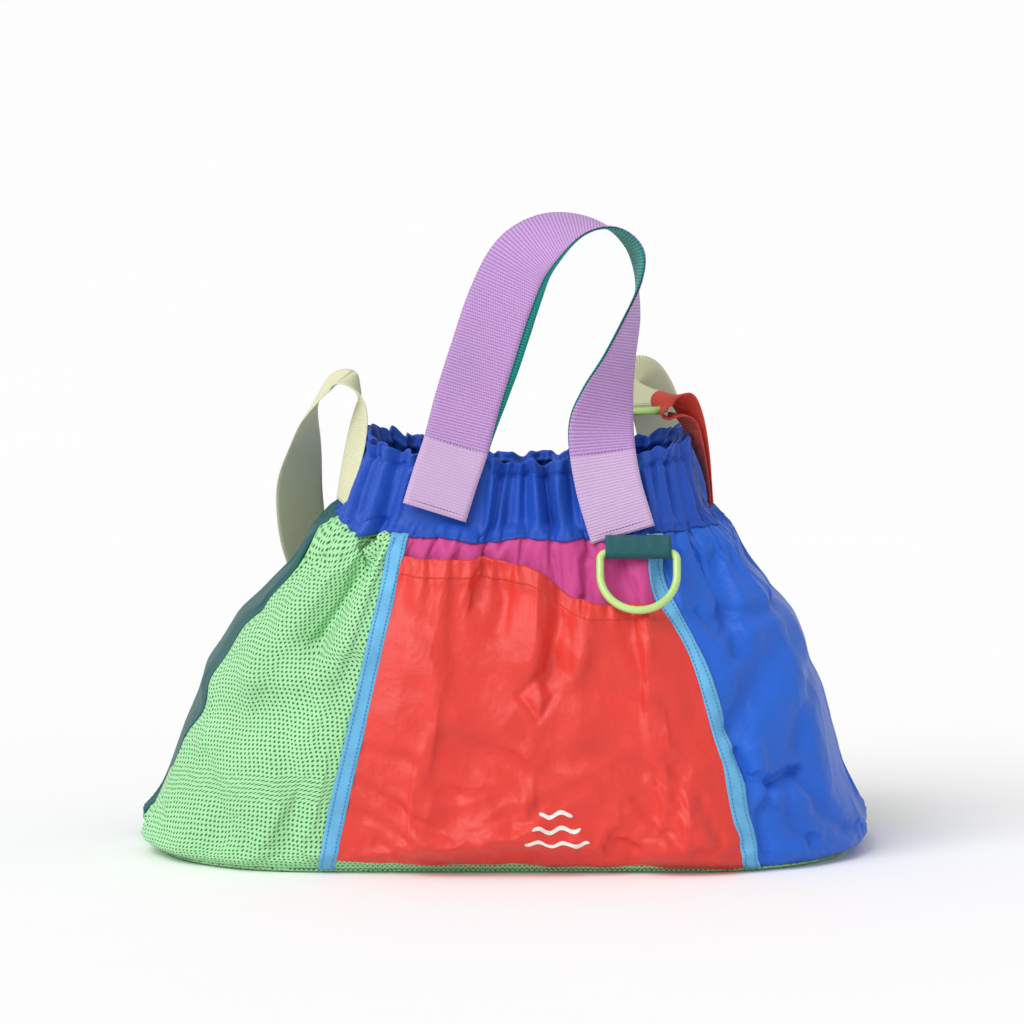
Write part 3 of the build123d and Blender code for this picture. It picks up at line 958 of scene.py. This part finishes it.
def build_collar(name, first, last, columns):
    """Casing from its seam up to the rim, over it and down inside."""
    turn = np.linspace(first, last, columns)
    low = neck_height(turn)
    high = rim_height(turn)
    ruffle = gathered(turn, RUFFLE)
    rows = []
    travels = []
    profile = [("out", share) for share in np.linspace(0, 1, 46)]
    profile += [("top", share) for share in np.linspace(0, 1, 8)[1:-1]]
    profile += [("in", share) for share in np.linspace(1, 0, 26)]
    sway = 0.0050 * np.sin(turn * 2 * math.pi * 5 + 0.7) + 0.0035 * np.sin(turn * 2 * math.pi * 13)
    travelled = 0.0
    for part, share in profile:
        level = share if part != "top" else 1.0
        height = low + (high - low) * level
        x, y, nx, ny = section(turn, height)
        lean = sway * (level - 0.3)
        wave = math.sin(math.pi * level)
        fine = gathered(turn + lean, FINE_PLEATS)
        middle = gathered(turn - lean * 1.6, SHORT_PLEATS)
        broad = gathered(turn + lean * 0.5, BROAD_PLEATS)
        casing = min(level / CASING_TOP, 1.0)
        puff = 5.0 * math.sin(math.pi * casing) ** 0.7 if level < CASING_TOP else 0.0
        seam = math.exp(-(((level - CASING_TOP) / 0.03) ** 2))
        free = max(level - CASING_TOP, 0) / 0.16
        own = 4.0 + puff - 2.0 * seam - 9.5 * fine - 8.0 * middle * (0.35 + 0.65 * wave)
        own = own - 5.0 * broad * (1 - 0.4 * level) + free * (2.4 - 3.4 * ruffle)
        share_own = min(level / 0.24, 1.0)
        share_own = share_own * share_own * (3 - 2 * share_own)
        flat = pressed(x, y, height)
        push = own * (1 - flat) + 0.2 * flat
        if part == "in":
            push = push - 3.0
        if part == "top":
            push = push - 3.0 * share
            height = height + 1.3 * math.sin(math.pi * share)
        uneven = 1.5 * np.sin(turn * 2 * math.pi * 31 + 1.3) + 1.3 * np.sin(turn * 2 * math.pi * 53)
        height = height + (uneven + 1.4 * (1 - ruffle) - 2.0 * fine) * level**3 * (1 - 0.7 * flat)
        point = np.stack([x + nx * push, y + ny * push, height], -1)
        if share_own < 1 and part == "out":
            seam_level = np.minimum(height, low + 3.5)
            joined = body_point(turn, seam_level, 1.5 + 1.2 * share_own)
            joined[:, 2] += height - seam_level
            point = joined * (1 - share_own) + point * share_own
        rows.append(point)
        travels.append(travelled)
        travelled += 1.4
    points = np.array(rows)
    climbed = np.repeat(np.array(travels)[:, None] * MM, columns, 1)
    return grid_object(name, points, np.stack([cloth_lengths(points), climbed], -1))


# The collar wears the darker copy of the blue nylon, whose darkness is painted shade.
collar_front = build_collar("collar_front_cloth", -0.225, 0.275, 560)
thicken(collar_front, 0.5)
dress(collar_front, "collar", replaces=["collar_front", "collar_facing", "elastic_band"])
collar_back = build_collar("collar_back_cloth", 0.275, 0.775, 480)
thicken(collar_back, 0.5)
dress(collar_back, "collar", replaces=["collar_back"])

# ------------------------------------------------------------------ binding tapes with their stitches
def build_tape(name, seam, low, high):
    """Tape over a seam, and its lines of points from one edge to the other."""
    heights = np.linspace(low, high, 110)
    rows = []
    uvs = []
    places = np.linspace(-1, 1, 11)
    for height in heights:
        x = float(seam_x(seam, height))
        turns = np.array([turn_at_x(x + place * TAPE_W / 2, height) for place in places])
        lift = 1.7 + 0.5 * (1 - places**4)
        rows.append(body_point(turns, np.full(11, height), lift))
        uvs.append(np.stack([places * TAPE_W / 2 * MM, np.full(11, height * MM)], -1))
    return grid_object(name, np.array(rows), np.array(uvs)), np.array(rows)


def stitches(name, line, pitch=3.2, long=2.2, thick=0.45):
    """A row of short raised stitches along a line of points."""
    points = np.array(line, float)
    steps = np.linalg.norm(np.diff(points, axis=0), axis=1)
    along = np.concatenate([[0], np.cumsum(steps)])
    vertices = []
    faces = []
    for start in np.arange(pitch, along[-1] - pitch, pitch):
        ends = [np.array([np.interp(start + d, along, points[:, k]) for k in range(3)]) for d in (0, long)]
        ahead = unit(ends[1] - ends[0])
        side = unit(np.cross(ahead, [0.0, -1.0, 0.25]))
        out = np.cross(side, ahead)
        first = len(vertices)
        for share, size in ((0, 0.4), (0.25, 1.0), (0.75, 1.0), (1, 0.4)):
            centre = ends[0] * (1 - share) + ends[1] * share
            for angle in np.linspace(0, 2 * math.pi, 6, endpoint=False):
                vertices.append(centre + thick * size * (math.cos(angle) * side + math.sin(angle) * out))
        faces += [tuple(first + k for k in f) for f in grid_faces(4, 6, wrap=True)]
        faces.append(tuple(first + k for k in range(6))[::-1])
        faces.append(tuple(first + 18 + k for k in range(6)))
    return new_object(name, vertices, faces)


for side, seam in (("left", LEFT_SEAM), ("right", RIGHT_SEAM)):
    binding, lines = build_tape("binding_" + side + "_tape", seam, 2.5, NECK_Z - 10)
    thicken(binding, 0.9)
    dress(binding, "sky", replaces=["binding_" + side])
    seams = [stitches(f"row{line}", lines[:, line] + np.array([0, -0.25, 0])) for line in (2, 8)]
    dress(join("binding_" + side + "_stitches", seams), "skythread")

# ------------------------------------------------------------------ patch pocket
POCKET_INSET = 5.0
POCKET_TOP = [(-80, 236.5), (-60, 235), (-42, 235.5), (-20, 234), (0, 233), (16, 231), (28, 226.5)]
POCKET_TOP += [(38, 217), (48, 208.5), (62, 204.5), (84, 203), (106, 204), (122, 203)]
POCKET_FOLDS = [
    ([(44, 214), (40, 186), (30, 152)], 7.5, 6.0),
    ([(24, 152), (37, 137), (24, 121), (11, 137), (24, 152)], 3.4, 2.2),
    ([(-4, 226), (0, 205), (-6, 184)], 8.0, 3.2),
    ([(42, 152), (92, 130), (150, 116)], 12.0, 3.4),
    ([(-70, 196), (-30, 164), (8, 143)], 11.0, 3.2),
    ([(96, 200), (92, 176), (104, 150)], 8.0, 3.0),
    ([(-118, 74), (-74, 54), (-22, 30)], 4.6, 3.4),
    ([(-116, 52), (-76, 33), (-44, 14)], 4.4, 3.0),
    ([(-104, 96), (-66, 88), (-34, 64)], 6.0, 2.4),
    ([(-94, 30), (-60, 16), (-30, 9)], 3.6, 2.4),
    ([(120, 92), (146, 62), (160, 30)], 6.0, 3.0),
    ([(96, 58), (126, 34), (152, 22)], 5.0, 2.6),
    ([(40, 22), (84, 18), (120, 8)], 4.4, 2.4),
    ([(-60, 112), (-20, 96), (24, 84)], 12.0, 2.4),
    ([(60, 92), (96, 84), (126, 66)], 9.0, 2.2),
]
POCKET_RIDGES = [
    ([(64, 202), (60, 172), (50, 148)], 8.0, 4.2),
    ([(16, 224), (20, 196), (18, 164)], 11.0, 4.2),
    ([(-94, 66), (-50, 45), (-8, 22)], 4.6, 3.2),
    ([(-100, 42), (-66, 26), (-38, 12)], 4.0, 2.4),
    ([(106, 74), (134, 46), (154, 34)], 5.0, 2.4),
    ([(-64, 214), (-58, 186), (-66, 158)], 13.0, 2.8),
    ([(118, 180), (124, 150), (134, 124)], 10.0, 2.6),
]


def pocket_sides(height):
    """X of the pocket's two sides at a height."""
    return seam_x(LEFT_SEAM, height) + POCKET_INSET, seam_x(RIGHT_SEAM, height) - POCKET_INSET


def pocket_surface(x_share, height_share, out=0.0):
    """Pocket cloth over the front panel; shares run from its left and bottom edges."""
    x_share, height_share = np.broadcast_arrays(np.asarray(x_share, float), np.asarray(height_share, float))
    top_x, top_z = zip(*POCKET_TOP)
    bottom = pocket_bottom(x_share)
    flat_z = np.zeros(x_share.shape)
    for _ in range(3):
        left, right = pocket_sides(flat_z)
        flat_x = left + (right - left) * x_share
        top = np.interp(flat_x, top_x, top_z)
        flat_z = bottom + (top - bottom) * height_share
    turn = np.vectorize(turn_at_x)(flat_x, flat_z)
    sideways = np.clip(np.minimum(x_share, 1 - x_share) / 0.16, 0, 1)
    upward = np.clip(height_share / 0.14, 0, 1)
    slack = np.sin(sideways * math.pi / 2) * np.sin(upward * math.pi / 2)
    lift = 1.5 + 5.6 * slack
    for line, width, depth in POCKET_FOLDS:
        lift = lift - depth * crease(flat_x, flat_z, line, width) * (0.3 + 0.7 * slack)
    for line, width, depth in POCKET_RIDGES:
        lift = lift + depth * crease(flat_x, flat_z, line, width) * slack
    # Crumples: small and broad swells, and two sets of sharp creases towards the bottom
    small = cloud(flat_x, flat_z, 30.0, 1)
    sharp = 1 - np.abs(cloud(flat_x + 0.5 * flat_z, flat_z, 42.0, 5)) * 2.2
    sharper = 1 - np.abs(cloud(flat_x * 0.7 - 0.6 * flat_z, flat_z, 30.0, 9)) * 2.4
    lower = np.clip(1.15 - height_share, 0, 1)
    broad = cloud(flat_x, flat_z, 85.0, 3)
    lift = lift + 0.4 * small * slack + 2.0 * broad * slack
    lift = lift + 2.2 * (sharp - 0.3) * slack * (0.12 + 0.88 * lower**2)
    hem_ridge = 1.6 * np.exp(-(((height_share - 0.95) / 0.03) ** 2))
    lift = lift + 0.8 * (sharper - 0.3) * slack * lower**2 + hem_ridge
    ruck = np.clip((height_share - 0.9) / 0.1, 0, 1)
    lift = lift + ruck * (1.0 * np.sin(flat_x * 0.33) + 0.7 * np.sin(flat_x * 0.71 + 1.0))
    lift = np.maximum(1.5 + (lift - 1.5) * 1.35, 1.0)
    points = body_point(turn, flat_z)
    _, _, nx, ny = section(turn, flat_z)
    points[..., 0] += nx * (lift + out)
    points[..., 1] += ny * (lift + out)
    return points, flat_x, flat_z


def pocket_piece(name, across, up, out=0.0):
    """Sheet of the pocket's cloth between shares of its width and height."""
    points, flat_x, flat_z = pocket_surface(*np.meshgrid(across, up), out)
    return grid_object(name, points, np.stack([flat_x, flat_z], -1) * MM)


pocket = pocket_piece("pocket_cloth", np.linspace(0, 1, 170), np.linspace(0, 1, 130))
thicken(pocket, 0.6, subdivide=1)
dress(pocket, "orange", replaces=["pocket_panel"])

hem = pocket_piece("pocket_hem_cloth", np.linspace(0.01, 0.99, 150), np.linspace(0.948, 1.004, 9), 0.35)
thicken(hem, 1.5)
dress(hem, "orange", replaces=["pocket_hem"])

hem_line, _, _ = pocket_surface(np.linspace(0.015, 0.985, 150), np.full(150, 0.952), 0.5)
dress(stitches("pocket_stitches", hem_line, 3.0, 2.0, 0.3), "orangethread")


def build_print():
    """Plain printed mark: three stacked wavy bars, each a thin film on the pocket."""
    bars = []
    top_x, top_z = zip(*POCKET_TOP)
    for row, (half, level) in enumerate(((24.0, 30.0), (18.5, 40.0), (13.0, 50.0))):
        across = np.linspace(-1, 1, 60)
        x = 38.0 + half * across
        z = level + 1.5 * np.sin(across * math.pi * half / 9.0)
        tall = 1.5 * np.sqrt(np.clip(1 - np.abs(across) ** 10, 0.0, 1))
        up = np.linspace(-1, 1, 5)
        want_z = z + tall * up[:, None]
        left, right = pocket_sides(want_z)
        share_x = (x - left) / (right - left)
        bottom = pocket_bottom(share_x)
        share_z = (want_z - bottom) / (np.interp(x, top_x, top_z) - bottom)
        points, flat_x, flat_z = pocket_surface(share_x, share_z, 0.3)
        bars.append(grid_object(f"bar{row}", points, np.stack([flat_x, flat_z], -1) * MM))
    mark = join("pocket_mark", bars)
    return thicken(mark, 0.12, offset=1.0)


dress(build_print(), "white", replaces=["pocket_print"])

# ------------------------------------------------------------------ handle, in two plies
handle_outer = ribbon("handle_outer_ply", HANDLE, WEBBING, 1.3, shift=-0.7, cup=-0.6)
handle_inner = ribbon(
    "handle_inner_ply", HANDLE, WEBBING - 0.6, 1.3, shift=0.8, cup=-0.6, slips=PLY_SLIP
)
for ply, material, slot_name, which in (
    (handle_outer, "lilac", "lilac_webbing", "outer"),
    (handle_inner, "tealweb", "teal_webbing", "inner"),
):
    nodes = [f"handle_{which}_webbing", f"handle_foot_left_{which}", f"handle_foot_right_{which}"]
    dress(ply, material, body=None, replaces=nodes)
    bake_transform(ply)


def across_webbing(stations, distance, half_width, lift):
    """Line over the webbing's outer face, square to it, at a distance from its start."""
    samples = 600
    path, length = smooth_path(stations, samples)
    index = int(distance / length * (samples - 1))
    points, edge, normal = webbing_frame(path)
    places = np.linspace(-half_width, half_width, 30)[:, None]
    return points[index] + edge[index] * places - normal[index] * lift


def foot_rows():
    """Stitch rows across both feet."""
    rows = []
    distances = (5.0, LEFT_FOOT, HANDLE_LENGTH - RIGHT_FOOT, HANDLE_LENGTH - 5.0)
    for index, distance in enumerate(distances):
        line = across_webbing(HANDLE, distance, 23.5, 1.2)
        rows.append(stitches(f"row{index}", line, 2.6, 1.9, 0.35))
    return join("handle_stitch_rows", rows)


handle_rows = foot_rows()
dress(handle_rows, "plum", body=None, replaces=["handle_stitching"])
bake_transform(handle_rows)


# ------------------------------------------------------------------ rings
def d_path(inner, leg, bend=5.0):
    """Centre line of a D-ring in its own plane: bar along X, legs and arc towards -Y."""
    half = inner / 2 + ROD_R
    points = [(x, 0) for x in np.linspace(-half + bend, half - bend, 14)]
    points += [
        (half - bend + bend * math.sin(a), -bend + bend * math.cos(a))
        for a in np.linspace(0.2, math.pi / 2, 6)
    ]
    points += [(half, y) for y in np.linspace(-bend, -leg, 8)[1:]]
    points += [(half * math.cos(a), -leg - half * math.sin(a)) for a in np.linspace(0, math.pi, 40)[1:-1]]
    points += [(-half, y) for y in np.linspace(-leg, -bend, 8)]
    points += [
        (-half + bend - bend * math.cos(a), -bend + bend * math.sin(a)) for a in np.linspace(0.2, 1.37, 5)
    ]
    return np.array(points)


RING_HANG = math.radians(31)
RING_BAR = np.array([101.0, MIDDLE_Y - 112.5, 240.0])
ring_down = np.array([0, -math.sin(RING_HANG), -math.cos(RING_HANG)])
flat_ring = d_path(FRONT_RING_INNER, RING_LEG)
ring_line = RING_BAR + np.outer(flat_ring[:, 0], [1, 0, 0]) - np.outer(flat_ring[:, 1], ring_down)
front_ring = ring_rod("front_ring_rod", ring_line, ROD_R)
dress(front_ring, "lime", body="front_ring", replaces=["front_ring"])

SIDE_BAR = np.array([SIDE_RING_X, MIDDLE_Y, STRAP_AXIS_Z])
flat_ring = d_path(SIDE_RING_INNER, RING_LEG)
side_line = SIDE_BAR + np.stack([flat_ring[:, 0], flat_ring[:, 1], 0 * flat_ring[:, 0]], 1)
side_ring = ring_rod("side_ring_rod", side_line, ROD_R)
dress(side_ring, "lime", body="side_ring", replaces=["side_ring"])


def folded_strip(name, section_points, across_from, across_to, thickness):
    """Webbing of one width whose section is a path in a plane; the two ends give its width."""
    path, length = smooth_path(section_points, 70)
    ahead = unit(np.gradient(path, axis=0))
    width = np.array(across_to, float) - np.array(across_from, float)
    side = unit(width)
    normal = np.cross(ahead, side)
    distance = np.linspace(0, length, len(path))
    rings = []
    uvs = []
    for face, place in section_places(np.linspace(0, 1, 15)):
        slim = thickness / 2 * (1 - 0.5 * abs(2 * place - 1) ** 14)
        rings.append(path + np.array(across_from) + width * place + normal * face * slim)
        uvs.append(np.stack([np.full(len(path), place * np.linalg.norm(width) * MM), distance * MM], 1))
    return closed_strip(name, rings, uvs)


# Grosgrain loop: down in front of the bar, under it and up behind it
loop_up = -ring_down
loop_out = np.cross([1.0, 0.0, 0.0], loop_up)
loop_out = loop_out if loop_out[1] < 0 else -loop_out
wrap = [RING_BAR + loop_up * 15 - loop_out * 1.2, RING_BAR + loop_up * 8 + loop_out * 2.2]
for angle in np.radians(np.linspace(70, -250, 9)) - 1.1:
    wrap.append(RING_BAR + 3.9 * (loop_out * math.cos(angle) + loop_up * math.sin(angle)))
wrap += [RING_BAR + loop_up * 7 - loop_out * 3.2, RING_BAR + loop_up * 15 - loop_out * 2.8]
loop = folded_strip("ring_loop_tape", wrap, (-25, 0, 0), (25, 0, 0), 1.2)
dress(loop, "grosgrain", replaces=["ring_loop"])

# ------------------------------------------------------------------ shoulder strap and side tab
# The strap is made in two parts, its sewn root and the rest; they meet at the top of the arch.
ROOT_SHARE = 0.105
strap = ribbon("shoulder_strap_webbing", STRAP, STRAP_W, 1.5, across=15, part=(ROOT_SHARE, 1.0))
dress(
    strap, "cream", body="shoulder_strap", replaces=["shoulder_strap", "strap_ring_fold"]
)
strap_root = ribbon("strap_root_webbing", STRAP, STRAP_W, 1.5, across=15, part=(0.0, ROOT_SHARE))
dress(strap_root, "cream", body=None, replaces=["strap_sewn_end"])
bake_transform(strap_root)

LEG_X = SIDE_RING_X + SIDE_RING_INNER / 2 + ROD_R
# X, Y behind the middle, Z and turn along the side tab: up, round the ring's leg and down
TAB = [
    (158.5, -16, 266, 84),
    (156.5, -17, 284, 80),
    (152.5, -18.5, 304, 68),
    (146.0, -21, 325, 50),
    (139.5, -24, 341, 38),
    (133.5, -26, 349.5, 34),
    (LEG_X + 2, -29, 350.5, 36),
    (LEG_X - 3.6, -31, 346.5, 50),
    (LEG_X - 5.4, -31.5, 341, 70),
    (LEG_X - 3.4, -31.5, 335.8, 90),
    (LEG_X + 2.5, -31, 333.6, 90),
    (131.5, -29, 336.5, 60),
    (141.0, -24, 328, 56),
    (149.6, -20, 304, 70),
    (154.6, -17.5, 284, 80),
    (157.0, -16, 266, 84),
]


def twisted_strip(name, stations, width, thickness):
    """Webbing along X, Y, Z, its width swung about the upright by each station's turn."""
    path, length = smooth_path([(x, MIDDLE_Y + y, z, turn) for x, y, z, turn in stations], 110)
    points = path[:, :3]
    ahead = unit(np.gradient(points, axis=0))
    turn = np.radians(path[:, 3])
    wide = np.stack([np.cos(turn), -np.sin(turn), 0 * turn], 1)
    wide = unit(wide - ahead * (wide * ahead).sum(1, keepdims=True))
    normal = np.cross(ahead, wide)
    distance = np.linspace(0, length, len(points))
    taper = np.interp(path[:, 2], [266, 300, 345], [0.55, 0.8, 1.0])[:, None]
    rings = []
    uvs = []
    for face, place in section_places(np.linspace(-1, 1, 15)):
        slim = thickness / 2 * (1 - 0.5 * abs(place) ** 14)
        rings.append(points + wide * place * width / 2 * taper + normal * face * slim)
        uvs.append(np.stack([np.full(len(points), place * width / 2 * MM), distance * MM], 1))
    return closed_strip(name, rings, uvs)


tab = twisted_strip("side_tab_webbing", TAB, 27.0, 1.2)
dress(tab, "red", replaces=["side_tab"])

# ------------------------------------------------------------------ stage, light and camera
floor_data = bpy.data.meshes.new("floor")
FLOOR = 20.0
corners = [(-FLOOR, -FLOOR, 0), (FLOOR, -FLOOR, 0), (FLOOR, FLOOR, 0), (-FLOOR, FLOOR, 0)]
floor_data.from_pydata(corners, [], [(0, 1, 2, 3)])
floor = bpy.data.objects.new("floor", floor_data)
bpy.context.scene.collection.objects.link(floor)
floor_look = Nodes("floor_paper", 0.9, specular=0.1)
floor_tones = [(0.0, (0.93, 0.93, 0.935, 1)), (1.0, (0.95, 0.95, 0.955, 1))]
floor_tone = floor_look.ramp(floor_look.noise(3.0), floor_tones)
floor_data.materials.append(floor_look.finish(floor_tone))

world = bpy.data.worlds.new("studio")
world.use_nodes = True
sky = world.node_tree.nodes["Background"]
sky.inputs["Color"].default_value = (1.0, 1.0, 1.0, 1.0)
sky.inputs["Strength"].default_value = 0.64
bpy.context.scene.world = world
bpy.context.scene.view_settings.view_transform = "Standard"

sun_data = bpy.data.lights.new("key", "SUN")
sun_data.energy = 1.9
sun_data.angle = math.radians(38)
sun = bpy.data.objects.new("key", sun_data)
sun.rotation_euler = Vector((0.62, 0.62, -0.85)).to_track_quat("-Z", "Y").to_euler()
bpy.context.scene.collection.objects.link(sun)

ELEVATION = math.radians(7.0)
DISTANCE = 7.0
FIELD = 0.788
target = Vector((0.0054, 0.0, 0.256))
camera_data = bpy.data.cameras.new("camera")
camera_data.sensor_width = 36.0
camera_data.lens = 36.0 * DISTANCE / FIELD
camera = bpy.data.objects.new("camera", camera_data)
camera.location = target + Vector((0, -math.cos(ELEVATION), math.sin(ELEVATION))) * DISTANCE
camera.rotation_euler = (target - camera.location).to_track_quat("-Z", "Y").to_euler()
bpy.context.scene.collection.objects.link(camera)
bpy.context.scene.camera = camera
